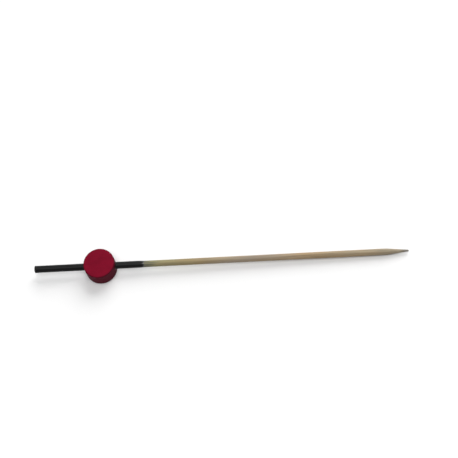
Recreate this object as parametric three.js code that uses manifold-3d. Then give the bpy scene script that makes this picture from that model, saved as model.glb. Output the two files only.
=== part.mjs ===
// Cocktail pick: a round bamboo stick whose head end is dipped in black lacquer, with a turned
// crimson wooden disc bead threaded on it through its own diameter and glued in place.
// Millimetres. +X runs along the stick from the head to the point, +Z is up through the bead's
// two flat faces, and the origin is the centre of the bead's lower face.
import * as THREE from 'three';
import { mergeVertices } from 'three/addons/utils/BufferGeometryUtils.js';
import Module from 'manifold-3d';

const wasm = await Module();
wasm.setup();

// Bamboo stick
const stickLength = 150;
const stickDiameter = 2.6;
const headChamfer = 0.15;
const pointLength = 9;
const pointShoulder = 2.4;
const tipDiameter = 0.8;

// Black lacquer, dipped on over the head end of the stick
const lacquerLength = 45;
const lacquerThickness = 0.1;
const lacquerFeather = 2.5;
const lacquerEdge = 0.03;
const dripLength = 1.6;
const dripSwell = 0.08;

// Disc bead, with the bore's mouths broken by a small countersink
const beadDiameter = 12.7;
const beadThickness = 6.7;
const beadEdgeRadius = 0.45;
const beadFromHead = 26.75;
const mouthFlare = 0.3;
const mouthDepth = 0.35;

// Glue between the bead's bore and the lacquered stick
const glueThickness = 0.12;
const glueFillet = 0.25;

// Gap left at every bonded surface
const bondGap = 0.02;

// Facets of the round forms
const stickSides = 32;
const beadSides = 96;
const arcSteps = 6;

// Radii and places that follow from the sizes above
const stickRadius = stickDiameter / 2;
const tipRadius = tipDiameter / 2;
const beadRadius = beadDiameter / 2;
const lacquerInner = stickRadius + bondGap;
const lacquerOuter = lacquerInner + lacquerThickness;
const glueInner = lacquerOuter + bondGap;
const boreRadius = glueInner + glueThickness + bondGap;
const headX = -beadFromHead;
const axisZ = beadThickness / 2;

const pick = new THREE.Group();

function addPiece(name, geometry, color, roughness) {
  const material = new THREE.MeshStandardMaterial({ color, roughness, metalness: 0 });
  const piece = new THREE.Mesh(geometry, material);
  piece.name = name;
  pick.add(piece);
}

// Points [along, out] of an arc round a centre, between two angles in degrees.
function arc(along, out, radius, from, to) {
  return Array.from({ length: arcSteps + 1 }, (_, step) => {
    const angle = THREE.MathUtils.degToRad(from + ((to - from) * step) / arcSteps);
    return [along + radius * Math.cos(angle), out + radius * Math.sin(angle)];
  });
}

// Points [along, out] of a soft corner that leaves one straight line and runs into the next.
function softCorner(from, corner, to) {
  const [start, bend, end] = [from, corner, to].map((point) => new THREE.Vector2(...point));
  const curve = new THREE.QuadraticBezierCurve(start, bend, end);
  return curve.getPoints(arcSteps).map(({ x, y }) => [x, y]);
}

// A solid turned about Z from a profile of [along, out] points.
function turned(profile, sides) {
  const points = profile.map(([along, out]) => new THREE.Vector2(out, along));
  return new THREE.LatheGeometry(points, sides).rotateX(Math.PI / 2);
}

// The same, turned about the stick's axis, with along measured on X.
function turnedOnStick(profile) {
  return turned(profile, stickSides).rotateY(Math.PI / 2).translate(0, 0, axisZ);
}

// Bamboo stick: cut square at the head with its arris broken, even down the shank, then ground
// to a long slim point that leaves the shank in a soft shoulder and ends in a small round nose.
function bambooStick() {
  const noseX = headX + stickLength - tipRadius;
  const shoulderX = headX + stickLength - pointLength;
  const slope = (stickRadius - tipRadius) / (noseX - shoulderX);
  const reach = pointShoulder / 2;
  return turnedOnStick([
    [headX, 0],
    [headX, stickRadius - headChamfer],
    [headX + headChamfer, stickRadius],
    ...softCorner(
      [shoulderX - reach, stickRadius],
      [shoulderX, stickRadius],
      [shoulderX + reach, stickRadius - slope * reach],
    ),
    ...arc(noseX, 0, tipRadius, 90, 0),
  ]);
}

// Lacquer: a thin cup over the head. It is a little thicker where the last drop dried round the
// head's edge, sinks from there to its even thickness in a soft curve, and thins out towards its
// open end on the bare shank. The head's arc ends where that curve starts.
function blackLacquer() {
  const faceX = headX - bondGap - lacquerThickness;
  const endX = headX + lacquerLength;
  const dripRadius = lacquerOuter + dripSwell;
  const roundX = faceX + dripRadius - stickRadius + headChamfer;
  return turnedOnStick([
    [faceX, 0],
    ...arc(roundX, stickRadius - headChamfer, roundX - faceX, 180, 90).slice(0, -1),
    ...softCorner(
      [roundX, dripRadius],
      [headX + dripLength / 2, lacquerOuter],
      [headX + dripLength, lacquerOuter],
    ),
    [endX - lacquerFeather, lacquerOuter],
    [endX, lacquerInner + lacquerEdge],
    [endX, lacquerInner],
    [headX + headChamfer, lacquerInner],
    [headX - bondGap, stickRadius - headChamfer],
    [headX - bondGap, 0],
  ]);
}

// One half of the bore's wall, from inside the bead out through a countersunk mouth and on to a
// given reach, as [along, out] points. The glue has the same wall, drawn in by a gap.
function boreWall(reach, inset) {
  const shoulder = beadRadius - mouthDepth;
  const flare = ((reach - shoulder) * mouthFlare) / mouthDepth;
  return [
    [shoulder, boreRadius - inset],
    [reach, boreRadius + flare - inset],
  ];
}

// The far half of a profile that is the same at both of the bore's mouths.
function mirrored(profile) {
  return profile.map(([along, out]) => [-along, out]).reverse();
}

function toManifold(geometry) {
  const bare = geometry.clone();
  bare.deleteAttribute('normal');
  bare.deleteAttribute('uv');
  const merged = mergeVertices(bare, 1e-4);
  return new wasm.Manifold(new wasm.Mesh({
    numProp: 3,
    vertProperties: new Float32Array(merged.attributes.position.array),
    triVerts: new Uint32Array(merged.index.array),
  }));
}

function toGeometry(solid) {
  const mesh = solid.getMesh();
  const geometry = new THREE.BufferGeometry();
  geometry.setAttribute('position', new THREE.BufferAttribute(mesh.vertProperties, 3));
  geometry.setIndex(new THREE.BufferAttribute(mesh.triVerts, 1));
  geometry.computeVertexNormals();
  return geometry;
}

// Disc bead: a turned wooden disc with two flat faces and rounded edges. The bore runs through
// its full diameter at mid height, so each mouth opens as a saddle in the rim and is countersunk.
function discBead() {
  const edgeOut = beadRadius - beadEdgeRadius;
  const disc = turned([
    [0, 0],
    ...arc(beadEdgeRadius, edgeOut, beadEdgeRadius, 180, 90),
    ...arc(beadThickness - beadEdgeRadius, edgeOut, beadEdgeRadius, 90, 0),
    [beadThickness, 0],
  ], beadSides);
  const wall = boreWall(beadRadius + mouthDepth, 0);
  const farMouth = wall.at(-1)[0];
  const bore = turnedOnStick([[-farMouth, 0], ...mirrored(wall), ...wall, [farMouth, 0]]);
  return toGeometry(toManifold(disc).subtract(toManifold(bore)));
}

// Glue: a sleeve that fills the bore round the lacquered stick, spreads into both countersinks
// and ends outside each mouth in a small fillet drawn up against the stick.
function beadGlue() {
  const wall = boreWall(beadRadius, bondGap);
  const endX = beadRadius + glueFillet;
  return turnedOnStick([
    [-endX, glueInner],
    ...mirrored(wall),
    ...wall,
    [endX, glueInner],
    [-endX, glueInner],
  ]);
}

addPiece('bamboo_stick', bambooStick(), 0xc8ac82, 0.75);
addPiece('black_lacquer', blackLacquer(), 0x1c1d1e, 0.35);
addPiece('disc_bead', discBead(), 0x8a1730, 0.5);
addPiece('bead_glue', beadGlue(), 0xd8c9a0, 0.2);

export default pick;
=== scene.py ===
from math import asin, atan2, ceil, cos, dist, hypot, pi, radians, sin, sqrt, tau

import bmesh
import bpy
import numpy as np
from mathutils import Matrix, Vector


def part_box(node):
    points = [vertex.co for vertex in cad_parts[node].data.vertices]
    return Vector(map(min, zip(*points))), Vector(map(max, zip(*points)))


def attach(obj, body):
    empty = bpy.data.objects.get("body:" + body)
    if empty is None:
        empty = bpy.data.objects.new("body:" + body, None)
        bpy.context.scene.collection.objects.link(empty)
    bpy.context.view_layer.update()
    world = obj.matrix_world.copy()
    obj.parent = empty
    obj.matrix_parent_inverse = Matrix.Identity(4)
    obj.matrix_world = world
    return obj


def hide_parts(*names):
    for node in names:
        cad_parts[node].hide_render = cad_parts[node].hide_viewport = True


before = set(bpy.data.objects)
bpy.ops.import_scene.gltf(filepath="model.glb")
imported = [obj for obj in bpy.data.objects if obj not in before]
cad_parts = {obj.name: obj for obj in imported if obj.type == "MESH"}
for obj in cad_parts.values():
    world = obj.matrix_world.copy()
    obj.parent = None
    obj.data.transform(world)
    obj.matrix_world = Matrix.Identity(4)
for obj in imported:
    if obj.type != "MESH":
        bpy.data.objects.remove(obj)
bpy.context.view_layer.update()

# Bamboo stick: a strip of bamboo drawn round through a die, cut to length and ground to a point.
# Its fibres run dead straight, so they show as lines along the shank and as cut ends on the point.
# It runs on inside the lacquer up to the head, black seeps along it, and its colour turns greyer
# towards the tip.
mm = 0.001
stick_low, stick_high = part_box("bamboo_stick")
axis_z = (stick_low.z + stick_high.z) / 2
stick_radius = (stick_high.z - stick_low.z) / 2
head_x, point_x = stick_low.x, stick_high.x
head_chamfer = 0.15 * mm
point_length = 9 * mm
point_shoulder = 2.4 * mm
tip_radius = 0.4 * mm
stick_sides = 128
thread_width = 0.11 * mm
bundle_gap = 0.34 * mm
along_stick = Matrix.Translation((0, 0, axis_z)) @ Matrix.Rotation(pi / 2, 4, "Y")


def arc(along, out, radius, start, end, steps=8):
    """Points (along, out) of an arc round a centre, its angles in degrees from the axis."""
    turns = [radians(start + (end - start) * step / steps) for step in range(steps + 1)]
    return [(along + radius * cos(turn), out + radius * sin(turn)) for turn in turns]


def soft_corner(start, corner, end, steps=8):
    """Points of a curve that leaves one straight line and runs into the next."""
    curve = []
    for t in np.linspace(0, 1, steps + 1):
        weights = ((1 - t) ** 2, 2 * t * (1 - t), t * t)
        curve.append(tuple(np.dot(weights, (start, corner, end))))
    return curve


def turned(name, profile, sides, step, place):
    """A solid turned from a profile of (along, out) points, which starts and ends on the axis or
    closes on itself. Stretches longer than the step are divided, so that relief can move them."""
    points = [profile[0]]
    for start, end in zip(profile, profile[1:]):
        cuts = max(1, ceil(dist(start, end) / step))
        points += [tuple(np.interp(cut, (0, cuts), pair) for pair in zip(start, end))
                   for cut in range(1, cuts + 1)]
    shape = bmesh.new()
    rings = []
    for along, out in points:
        turns = [tau * side / sides for side in range(sides)] if out > 0 else [0]
        rings.append([shape.verts.new(place @ Vector((out * cos(turn), out * sin(turn), along)))
                      for turn in turns])
    if points[0][1] > 0:
        shape.verts.ensure_lookup_table()
        for spare in rings.pop():
            shape.verts.remove(spare)
        rings.append(rings[0])
    for ring, following in zip(rings, rings[1:]):
        for side in range(sides):
            after = (side + 1) % sides
            if len(ring) == 1:
                shape.faces.new((ring[0], following[side], following[after]))
            elif len(following) == 1:
                shape.faces.new((ring[side], following[0], ring[after]))
            else:
                shape.faces.new((ring[side], following[side], following[after], ring[after]))
    bmesh.ops.recalc_face_normals(shape, faces=shape.faces)
    mesh = bpy.data.meshes.new(name)
    shape.to_mesh(mesh)
    shape.free()
    mesh.shade_smooth()
    piece = bpy.data.objects.new(name, mesh)
    bpy.context.collection.objects.link(piece)
    return piece


def node(tree, kind, inputs, **settings):
    """Adds a node to a tree. Each input is given a value or the socket that feeds it."""
    made = tree.nodes.new(kind)
    for name, value in settings.items():
        setattr(made, name, value)
    for name, value in inputs.items():
        if isinstance(value, bpy.types.NodeSocket):
            tree.links.new(value, made.inputs[name])
        else:
            made.inputs[name].default_value = value
    return made


relief_inputs = {"Groove Depth": "Float", "Fibre Width": "Float", "Fibre Length": "Float",
                 "Wobble": "Float", "Wobble Length": "Float", "Seed": "Float",
                 "Finish": "Material"}
relief = bpy.data.node_groups.new("fibre_relief", "GeometryNodeTree")
relief.interface.new_socket("Geometry", in_out="INPUT", socket_type="NodeSocketGeometry")
for label, kind in relief_inputs.items():
    relief.interface.new_socket(label, in_out="INPUT", socket_type="NodeSocket" + kind)
relief.interface.new_socket("Geometry", in_out="OUTPUT", socket_type="NodeSocketGeometry")
given = relief.nodes.new("NodeGroupInput").outputs


def sinking(length, width, depth):
    """How far the surface sinks under noise that is long along the stick and narrow across it."""
    spot = node(relief, "GeometryNodeInputPosition", {}).outputs["Position"]
    size = node(relief, "ShaderNodeCombineXYZ", {"X": length, "Y": width, "Z": width}).outputs[0]
    drawn = node(relief, "ShaderNodeVectorMath", {0: spot, 1: size}, operation="DIVIDE").outputs[0]
    noise = node(relief, "ShaderNodeTexNoise", {"Vector": drawn, "W": given["Seed"], "Scale": 1.0},
                 noise_dimensions="4D").outputs["Fac"]
    return node(relief, "ShaderNodeMath", {0: noise, 1: depth}, operation="MULTIPLY").outputs[0]


grooves = sinking(given["Fibre Length"], given["Fibre Width"], given["Groove Depth"])
unevenness = sinking(given["Wobble Length"], given["Wobble Length"], given["Wobble"])
sunk = node(relief, "ShaderNodeMath", {0: grooves, 1: unevenness}, operation="ADD").outputs[0]
outward = node(relief, "GeometryNodeInputNormal", {}).outputs["Normal"]
inward = node(relief, "ShaderNodeVectorMath", {0: outward, "Scale": -1.0},
              operation="SCALE").outputs[0]
shift = node(relief, "ShaderNodeVectorMath", {0: inward, "Scale": sunk},
             operation="SCALE").outputs[0]
moved = node(relief, "GeometryNodeSetPosition",
             {"Geometry": given["Geometry"], "Offset": shift}).outputs[0]
real = node(relief, "GeometryNodeRealizeInstances", {"Geometry": moved}).outputs[0]
finished = node(relief, "GeometryNodeSetMaterial",
                {"Geometry": real, "Material": given["Finish"]}).outputs[0]
node(relief, "NodeGroupOutput", {"Geometry": finished})


def pressed(piece, **sizes):
    """Gives a piece its relief and its finish, and turns the result into plain mesh."""
    modifier = piece.modifiers.new("relief", "NODES")
    modifier.node_group = relief
    for socket in relief.interface.items_tree:
        size = socket.name.lower().replace(" ", "_")
        if size in sizes:
            modifier[socket.identifier] = sizes[size]
    evaluated = piece.evaluated_get(bpy.context.evaluated_depsgraph_get())
    mesh = bpy.data.meshes.new_from_object(evaluated)
    piece.modifiers.clear()
    piece.data = mesh


def fitted(piece, plain_node):
    """The finished piece takes the place of a plain solid of the frame."""
    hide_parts(plain_node)
    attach(piece, "root")


def new_finish(name, **values):
    """A new material and its tree, with values set on its shader."""
    finish = bpy.data.materials.new(name)
    finish.use_nodes = True
    for label, value in values.items():
        shader = finish.node_tree.nodes["Principled BSDF"]
        shader.inputs[label.replace("_", " ")].default_value = value
    return finish, finish.node_tree


def feed(tree, **sockets):
    """Links sockets to the inputs of a material's shader."""
    for label, socket in sockets.items():
        tree.links.new(socket, tree.nodes["Principled BSDF"].inputs[label.replace("_", " ")])


def where(tree):
    """The place of each point of a surface, in metres from the foot of the bead."""
    return node(tree, "ShaderNodeTexCoord", {}).outputs["Object"]


def drawn_out(tree, length, width):
    """Object coordinates in which a pattern is drawn out along the fibres."""
    return node(tree, "ShaderNodeMapping",
                {"Vector": where(tree), "Scale": (1 / length, 1 / width, 1 / width)}).outputs[0]


def streaks(tree, length, width, seed, detail=2.0):
    """Noise from 0 to 1 that changes slowly along the fibres and quickly across them."""
    return node(tree, "ShaderNodeTexNoise",
                {"Vector": drawn_out(tree, length, width), "W": seed, "Scale": 1.0,
                 "Detail": detail}, noise_dimensions="4D").outputs["Fac"]


def seeping(tree):
    """How badly each fibre takes the black, from 0 to 1."""
    return streaks(tree, 9 * mm, 0.5 * mm, seed=4.9, detail=3.0)


def ramp(tree, value, *stops):
    """A colour for each value, between stops of (value, colour)."""
    made = node(tree, "ShaderNodeValToRGB", {"Fac": value})
    while len(made.color_ramp.elements) < len(stops):
        made.color_ramp.elements.new(1.0)
    for element, (position, colour) in zip(made.color_ramp.elements, stops):
        element.position = position
        element.color = (*colour, 1.0)
    return made.outputs["Color"]


def ranged(tree, value, low, high, to_low=0.0, to_high=1.0, kind="SMOOTHSTEP"):
    """Turns one range of values into another, and holds it at its ends."""
    return node(tree, "ShaderNodeMapRange",
                {"Value": value, "From Min": low, "From Max": high, "To Min": to_low,
                 "To Max": to_high}, interpolation_type=kind).outputs["Result"]


def summed(tree, first, second, share):
    """The first value plus a share of the second."""
    return node(tree, "ShaderNodeMath", {0: second, 1: share, 2: first},
                operation="MULTIPLY_ADD").outputs[0]


def mixed(tree, share, first, second, kind="MIX"):
    """Two colours mixed, or one laid on the other in a share."""
    made = tree.nodes.new("ShaderNodeMix")
    made.data_type = "RGBA"
    made.blend_type = kind
    for socket, value in ((made.inputs[0], share), (made.inputs[6], first), (made.inputs[7], second)):
        if isinstance(value, bpy.types.NodeSocket):
            tree.links.new(value, socket)
        elif socket.type == "RGBA":
            socket.default_value = (*value, 1.0)
        else:
            socket.default_value = value
    return made.outputs[2]


def bumped(tree, height, depth, strength=1.0):
    """The surface's direction under a height from 0 to 1 that stands for a depth."""
    return node(tree, "ShaderNodeBump",
                {"Height": height, "Distance": depth, "Strength": strength}).outputs["Normal"]


def along(tree):
    """How far a point lies along the stick, in metres from the bead."""
    return node(tree, "ShaderNodeSeparateXYZ", {"Vector": where(tree)}).outputs["X"]


shoulder_x = point_x - point_length
nose_x = point_x - tip_radius
point_slope = (stick_radius - tip_radius) / (nose_x - shoulder_x)
reach = point_shoulder / 2
stick = turned("split_bamboo", [
    (head_x, 0),
    (head_x, stick_radius - head_chamfer),
    (head_x + head_chamfer, stick_radius),
    *soft_corner((shoulder_x - reach, stick_radius), (shoulder_x, stick_radius),
                 (shoulder_x + reach, stick_radius - point_slope * reach)),
    *arc(nose_x, 0, tip_radius, 90, 0)[:-1],
    (point_x, 0),
], sides=stick_sides, step=0.5 * mm, place=along_stick)

seep_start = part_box("black_lacquer")[1].x - 2 * mm
seep_end = seep_start + 8.5 * mm
grey_tip_start = point_x - 4 * mm
bamboo_tones = ((0.05, (0.258, 0.24, 0.125)), (0.22, (0.285, 0.219, 0.115)),
                (0.4, (0.29, 0.24, 0.185)), (0.7, (0.345, 0.247, 0.14)),
                (0.92, (0.295, 0.25, 0.178)))
thread_shades = ((0.3, (0.7, 0.68, 0.63)), (0.7, (1.17, 1.17, 1.17)))
bundle_brown = (0.15, 0.11, 0.065)
cut_end_brown = (0.13, 0.1, 0.06)
stain_grey = (0.055, 0.065, 0.06)
tip_grey = (0.145, 0.138, 0.122)
bamboo, tree = new_finish("bare_bamboo", Specular_IOR_Level=0.2)
patches = streaks(tree, 22 * mm, 1.7 * mm, seed=1.3, detail=1.0)
drift = ranged(tree, along(tree), seep_start, point_x, -0.2, 0.8, "LINEAR")
ground = ramp(tree, summed(tree, drift, patches, 0.4), *bamboo_tones)
threads = streaks(tree, 14 * mm, thread_width, seed=4.1)
ground = mixed(tree, 1.0, ground, ramp(tree, threads, *thread_shades), "MULTIPLY")
bundles = node(tree, "ShaderNodeTexVoronoi",
               {"Vector": drawn_out(tree, 45 * mm, bundle_gap), "Scale": 1.0}).outputs["Distance"]
bundle_share = ranged(tree, bundles, 0.14, 0.32, 0.75, 0.0)
ground = mixed(tree, bundle_share, ground, bundle_brown)
cut_ends = streaks(tree, 1.3 * mm, 0.07 * mm, seed=6.4)
cut_zone = ranged(tree, along(tree), shoulder_x - reach, shoulder_x + reach, 0.0, 0.6)
cut_share = node(tree, "ShaderNodeMath", {0: ranged(tree, cut_ends, 0.42, 0.3), 1: cut_zone},
                 operation="MULTIPLY").outputs[0]
ground = mixed(tree, cut_share, ground, cut_end_brown)
seep_reach = ranged(tree, along(tree), seep_start, seep_end, 1.0, 0.0, "LINEAR")
stained = ranged(tree, summed(tree, seep_reach, seeping(tree), -2.5), -1.1, -0.3, 0.0, 0.7)
ground = mixed(tree, stained, ground, stain_grey)
# The colour turns greyer over the last millimetres towards the tip.
greyed_tip = ranged(tree, along(tree), grey_tip_start, nose_x - tip_radius, 0.0, 0.8)
ground = mixed(tree, greyed_tip, ground, tip_grey)
lifted = summed(tree, summed(tree, threads, bundles, 0.5), cut_share, -0.8)
feed(tree, Base_Color=ground, Roughness=ranged(tree, threads, 0.2, 0.8, 0.52, 0.72),
     Normal=bumped(tree, lifted, 0.02 * mm, 0.8))
pressed(stick, groove_depth=0.03 * mm, fibre_width=0.24 * mm, fibre_length=16 * mm,
        wobble=0.02 * mm, wobble_length=9 * mm, seed=2.0, finish=bamboo)
fitted(stick, "bamboo_stick")

# Black lacquer: the head end was dipped and hung to dry, which left a thin even coat that shows
# the fibres softly, and a dried drop round the head. Over its last millimetres the coat turns
# grey and sinks to nothing on the bare shank, sooner on the raised fibres than between them.
lacquer_low, lacquer_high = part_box("black_lacquer")
bond_gap = 0.02 * mm
lacquer_thickness = 0.1 * mm
lacquer_feather = 2.5 * mm
lacquer_sink = 0.04 * mm
drip_length = 1.6 * mm
drip_swell = 0.08 * mm
lacquer_inner = stick_radius + bond_gap
lacquer_outer = lacquer_inner + lacquer_thickness
drip_radius = lacquer_outer + drip_swell
face_x, lacquer_end = lacquer_low.x, lacquer_high.x
feather_start = lacquer_end - lacquer_feather
feather_slope = (lacquer_outer - stick_radius + lacquer_sink) / lacquer_feather
feather_reach = 1.2 * mm
arris = stick_radius - head_chamfer
round_x = face_x + drip_radius - arris
lacquer = turned("dried_lacquer", [
    (face_x, 0),
    *arc(round_x, arris, round_x - face_x, 180, 90),
    *soft_corner((round_x, drip_radius), (head_x + drip_length / 2, lacquer_outer),
                 (head_x + drip_length, lacquer_outer))[1:],
    *soft_corner((feather_start - feather_reach, lacquer_outer), (feather_start, lacquer_outer),
                 (feather_start + feather_reach, lacquer_outer - feather_slope * feather_reach)),
    (lacquer_end, stick_radius - lacquer_sink),
    (feather_start, lacquer_inner),
    (head_x + head_chamfer, lacquer_inner),
    (head_x - bond_gap, arris),
    (head_x - bond_gap, 0),
], sides=stick_sides, step=0.4 * mm, place=along_stick)

black_tones = ((0.35, (0.004, 0.004, 0.0042)), (0.7, (0.009, 0.009, 0.0093)))
thin_tones = ((0.3, (0.12, 0.126, 0.122)), (0.7, (0.25, 0.255, 0.24)))
coat, tree = new_finish("black_lacquer_coat", Specular_IOR_Level=0.12)
veil = streaks(tree, 20 * mm, 0.3 * mm, seed=9.2)
black = ramp(tree, veil, *black_tones)
thin_reach = ranged(tree, along(tree), feather_start, lacquer_end, 0.0, 1.0, "LINEAR")
thin = ranged(tree, summed(tree, thin_reach, seeping(tree), 2.0), 1.5, 2.0)
show_through = ramp(tree, streaks(tree, 9 * mm, thread_width, seed=5.9), *thin_tones)
black = mixed(tree, thin, black, show_through)
orange_peel = streaks(tree, 1.2 * mm, 0.9 * mm, seed=3.3, detail=1.0)
dulled = summed(tree, ranged(tree, veil, 0.2, 0.8, 0.34, 0.48), thin, 0.25)
feed(tree, Base_Color=black, Roughness=dulled,
     Normal=bumped(tree, summed(tree, veil, orange_peel, 0.8), 0.015 * mm, 0.6))
pressed(lacquer, groove_depth=0.012 * mm, fibre_width=0.3 * mm, fibre_length=16 * mm,
        wobble=0.01 * mm, wobble_length=5 * mm, seed=2.0, finish=coat)
lacquer.data.set_sharp_from_angle(angle=radians(40))
fitted(lacquer, "black_lacquer")

# Disc bead: a wooden disc turned with two flat faces and softly rounded edges, drilled through
# its diameter with both mouths countersunk, and dipped in crimson paint that dries satin. Painted
# shade darkens the rim, the straight grain lifts the paint and the edges have lost some of it.
bead_low, bead_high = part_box("disc_bead")
bead_radius = (bead_high.x - bead_low.x) / 2
bead_thickness = bead_high.z - bead_low.z
bead_edge_radius = 0.45 * mm
wear_reach = 1.5 * bead_edge_radius
glue_thickness = 0.12 * mm
glue_inner = lacquer_outer + bond_gap
bore_radius = glue_inner + glue_thickness + bond_gap
mouth_flare = 0.3 * mm
mouth_depth = 0.35 * mm
bead_sides = 256
cloud_size = 2.6 * mm
tool_mark_width = 0.22 * mm
crimson_tones = ((0.3, (0.143, 0.0016, 0.013)), (0.7, (0.174, 0.0024, 0.016)))
grain_crimson = (0.085, 0.002, 0.01)
rubbed_crimson = (0.26, 0.035, 0.04)
# Painted shade: the colour that darkens the rim to stand for the shade that falls on it.
painted_rim_shade = (0.46, 1.0, 0.8)

edge_out = bead_radius - bead_edge_radius
bead = turned("painted_bead", [
    (0, 0),
    *arc(bead_edge_radius, edge_out, bead_edge_radius, 180, 90),
    *arc(bead_thickness - bead_edge_radius, edge_out, bead_edge_radius, 90, 0),
    (bead_thickness, 0),
], sides=bead_sides, step=0.3 * mm, place=Matrix.Translation((0, 0, bead_low.z)))
shoulder = bead_radius - mouth_depth
far_out = bead_radius + mouth_depth
far_flare = bore_radius + 2 * mouth_flare
drill = turned("drill", [
    (-far_out, 0), (-far_out, far_flare), (-shoulder, bore_radius), (shoulder, bore_radius),
    (far_out, far_flare), (far_out, 0),
], sides=96, step=bead_radius, place=along_stick)
bore = bead.modifiers.new("bore", "BOOLEAN")
bore.operation = "DIFFERENCE"
bore.solver = "EXACT"
bore.object = drill


def length_of(tree, vector):
    """The length of a vector."""
    return node(tree, "ShaderNodeVectorMath", {0: vector}, operation="LENGTH").outputs["Value"]


paint, tree = new_finish("crimson_paint", Specular_IOR_Level=0.04)
clouds = streaks(tree, cloud_size, cloud_size, seed=1.0)
crimson = ramp(tree, clouds, *crimson_tones)
grain = streaks(tree, 5 * mm, 0.22 * mm, seed=5.5)
crimson = mixed(tree, ranged(tree, grain, 0.3, 0.5, 0.3, 0.0), crimson, grain_crimson)
from_centre = node(tree, "ShaderNodeVectorMath", {0: where(tree), 1: (1, 1, 0)},
                   operation="MULTIPLY").outputs[0]
height = node(tree, "ShaderNodeSeparateXYZ", {"Vector": where(tree)}).outputs["Z"]
turning = node(tree, "ShaderNodeCombineXYZ", {"X": length_of(tree, from_centre),
                                              "Y": height}).outputs[0]
tool_marks = node(tree, "ShaderNodeTexNoise", {"Vector": turning, "Scale": 1 / tool_mark_width,
                                               "Detail": 1.0}).outputs["Fac"]
rim = node(tree, "ShaderNodeAttribute", {}, attribute_name="rim").outputs["Fac"]
# Painted shade: the rim's colour is darkened to stand for the shade that falls on it.
crimson = mixed(tree, rim, crimson, painted_rim_shade, "MULTIPLY")
edge = node(tree, "ShaderNodeAttribute", {}, attribute_name="edge").outputs["Fac"]
scuffs = streaks(tree, 0.5 * mm, 0.3 * mm, seed=8.8)
rubbed = ranged(tree, summed(tree, edge, scuffs, 1.0), 1.35, 1.6, 0.0, 0.5)
crimson = mixed(tree, rubbed, crimson, rubbed_crimson)
raised = summed(tree, summed(tree, grain, clouds, 0.4), tool_marks, 0.6)
feed(tree, Base_Color=crimson, Roughness=ranged(tree, clouds, 0.2, 0.8, 0.5, 0.62),
     Normal=bumped(tree, raised, 0.03 * mm, 0.8))
pressed(bead, groove_depth=0.012 * mm, fibre_width=0.35 * mm, fibre_length=5 * mm,
        wobble=0.06 * mm, wobble_length=5 * mm, seed=6.0, finish=paint)
bpy.data.objects.remove(drill)
bead.data.set_sharp_from_angle(angle=radians(35))
from_rim, from_face = [], []
for corner in bead.data.vertices:
    from_rim.append(bead_radius - hypot(corner.co.x, corner.co.y))
    from_face.append(min(corner.co.z - bead_low.z, bead_high.z - corner.co.z))
on_rim = 1 - np.clip(np.divide(from_rim, bead_edge_radius), 0, 1)
on_edge = 1 - np.clip(np.hypot(from_rim, from_face) / wear_reach, 0, 1)
for label, share in (("rim", on_rim), ("edge", on_edge)):
    bead.data.attributes.new(label, "FLOAT", "POINT").data.foreach_set("value", share)
fitted(bead, "disc_bead")

# Bead glue: a sleeve of clear wood glue between the bead's bore and the lacquered stick. It was
# pushed out as the bead was slid on, and dried in a small hollow fillet round each mouth, which
# shows the black of the stick and the crimson of the bead through it.
glue_fillet = 0.25 * mm
glue_lumps = 11
glue_tones = ((0.1, (0.012, 0.007, 0.006)), (0.9, (0.07, 0.004, 0.009)))
mouth_out = bore_radius + mouth_flare - bond_gap
fillet = soft_corner((bead_radius, mouth_out), (bead_radius, glue_inner),
                     (bead_radius + glue_fillet, glue_inner))
half = [(shoulder, bore_radius - bond_gap), *fillet]
glue = turned("dried_glue", [
    *[(-along_bore, out) for along_bore, out in reversed(half)],
    *half,
    (-bead_radius - glue_fillet, glue_inner),
], sides=128, step=bead_radius, place=along_stick)
swell = np.random.default_rng(3).uniform(-0.3, 0.5, glue_lumps)
swell_turns = np.arange(glue_lumps) * tau / glue_lumps
for corner in glue.data.vertices:
    turn = atan2(corner.co.z - axis_z, corner.co.y)
    past_rim = abs(corner.co.x) - bead_radius
    if past_rim > -mouth_depth / 2:
        saddle = sqrt(bead_radius ** 2 - corner.co.y ** 2)
        bulge = max(past_rim, 0.0) * (1 + np.interp(turn, swell_turns, swell, period=tau))
        corner.co.x = (saddle + bulge) * (1 if corner.co.x > 0 else -1)

amber, tree = new_finish("dried_clear_glue", Specular_IOR_Level=0.1, Roughness=0.4)
from_axis = node(tree, "ShaderNodeMapping", {"Vector": where(tree), "Location": (0, 0, -axis_z),
                                             "Scale": (0, 1, 1)}).outputs[0]
into_hollow = ranged(tree, length_of(tree, from_axis), glue_inner, mouth_out, kind="LINEAR")
ripple = streaks(tree, 0.8 * mm, 0.8 * mm, seed=2.2)
feed(tree, Base_Color=ramp(tree, into_hollow, *glue_tones),
     Normal=bumped(tree, ripple, 0.03 * mm, 0.5))
pressed(glue, groove_depth=0.0, fibre_width=1 * mm, fibre_length=1 * mm,
        wobble=0.015 * mm, wobble_length=0.7 * mm, seed=4.0, finish=amber)
fitted(glue, "bead_glue")

# Table: a plain white studio surface. The pick lies on it as the real one does, tipped forward
# on the edge of its bead and on the shank just behind the point, so the table leans with it.
rest_front = Vector((shoulder_x - reach, 0, axis_z - stick_radius))
rest_back = Vector((edge_out, 0, bead_low.z))
table_lean = atan2(rest_front.z - rest_back.z, rest_front.x - rest_back.x)
table_half = 3.0
lean = Matrix.Rotation(-table_lean, 4, "Y")
corners = [lean @ Vector((x * table_half, y * table_half, 0)) + rest_back
           for x, y in ((-1, -1), (1, -1), (1, 1), (-1, 1))]
table_mesh = bpy.data.meshes.new("table")
table_mesh.from_pydata(corners, [], [(0, 1, 2, 3)])
table = bpy.data.objects.new("table", table_mesh)
bpy.context.collection.objects.link(table)
table_mesh.materials.append(new_finish("white_paper", Base_Color=(0.8, 0.8, 0.8, 1),
                                       Roughness=0.9, Specular_IOR_Level=0.1)[0])

# Camera: a long lens, steep above the pick and a little towards its point. It is turned and
# moved so that the two ends of the stick fall on the photograph's own pixels.
picture_side = 458
head_pixel = (35.3, 269.5)
point_pixel = (408.7, 250.5)
camera_azimuth = radians(18)
camera_elevation = radians(64.5)
lens = 135
sensor = 36


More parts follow.
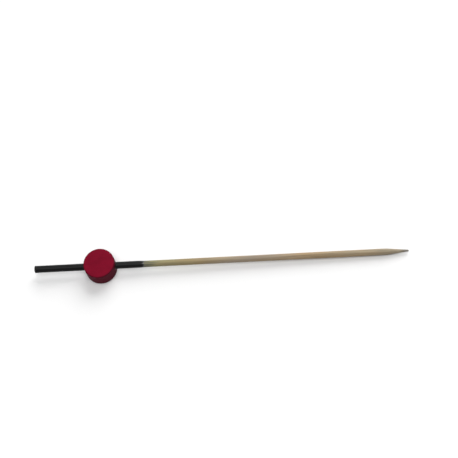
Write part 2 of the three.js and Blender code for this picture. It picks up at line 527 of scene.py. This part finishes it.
def seen_at(pixel):
    """A pixel as a direction from the lens: right and up per unit of depth."""
    half_side = picture_side / 2
    return Vector((pixel[0] - half_side, half_side - pixel[1])) / half_side * (sensor / 2 / lens)


back = Vector((sin(camera_azimuth) * cos(camera_elevation),
               -cos(camera_azimuth) * cos(camera_elevation), sin(camera_elevation)))
right = Vector((0, 0, 1)).cross(back).normalized()
level_view = Matrix((right, back.cross(right), back))
head_end = Vector((head_x, 0, axis_z))
point_end = Vector((point_x, 0, axis_z))
span = level_view @ (point_end - head_end)
head_seen, point_seen = seen_at(head_pixel), seen_at(point_pixel)
wanted = (point_seen - head_seen).normalized()
sideways = span.z * (wanted.x * point_seen.y - wanted.y * point_seen.x)
flat = Vector((span.x, span.y))
roll = atan2(wanted.y, wanted.x) + asin(-sideways / flat.length) - atan2(flat.y, flat.x)
view = Matrix.Rotation(roll, 3, "Z") @ level_view
span = view @ (point_end - head_end)
spread = Vector((span.x, span.y)) + span.z * point_seen
depth = spread.length / (point_seen - head_seen).length
head_in_view = Vector((head_seen.x, head_seen.y, -1)) * depth
camera = bpy.data.objects.new("camera", bpy.data.cameras.new("camera"))
camera.data.lens = lens
camera.data.sensor_width = sensor
camera.data.clip_start = 0.01
camera.matrix_world = (Matrix.Translation(head_end - view.transposed() @ head_in_view)
                       @ view.transposed().to_4x4())
bpy.context.collection.objects.link(camera)
bpy.context.scene.camera = camera

# Light: a wide window low behind the pick and a softbox above it, both far off, so that the table
# is lit evenly up to its end and the shadows are pale and fade slowly. The backdrop is white.
ambient = 0.24
bpy.context.scene.view_settings.view_transform = "Standard"
world = bpy.data.worlds.new("studio")
bpy.context.scene.world = world
world.use_nodes = True
seen_directly = node(world.node_tree, "ShaderNodeLightPath", {}).outputs["Is Camera Ray"]
backdrop = world.node_tree.nodes["Background"]
backdrop.inputs["Color"].default_value = (1, 1, 1, 1)
world.node_tree.links.new(ranged(world.node_tree, seen_directly, 0, 1, ambient, 1.0, "LINEAR"),
                          backdrop.inputs["Strength"])

up = Vector((0, 0, 1))
behind = view.transposed() @ Vector((0, 1, 0))
behind = Vector((behind.x, behind.y, 0)).normalized()


def soft_light(name, strength, spread, lean, turn):
    """Even light from a disc as wide as the spread. It leans back from overhead and turns to the
    right, all in degrees."""
    level = Matrix.Rotation(-radians(turn), 3, "Z") @ behind
    aim = up * cos(radians(lean)) + level * sin(radians(lean))
    lamp = bpy.data.objects.new(name, bpy.data.lights.new(name, "SUN"))
    lamp.data.energy = strength
    lamp.data.angle = radians(spread)
    lamp.rotation_euler = aim.to_track_quat("Z", "Y").to_euler()
    bpy.context.collection.objects.link(lamp)


soft_light("window_light", strength=3.27, spread=57.9, lean=58, turn=18)
soft_light("overhead_light", strength=1.7, spread=40, lean=-8, turn=0)
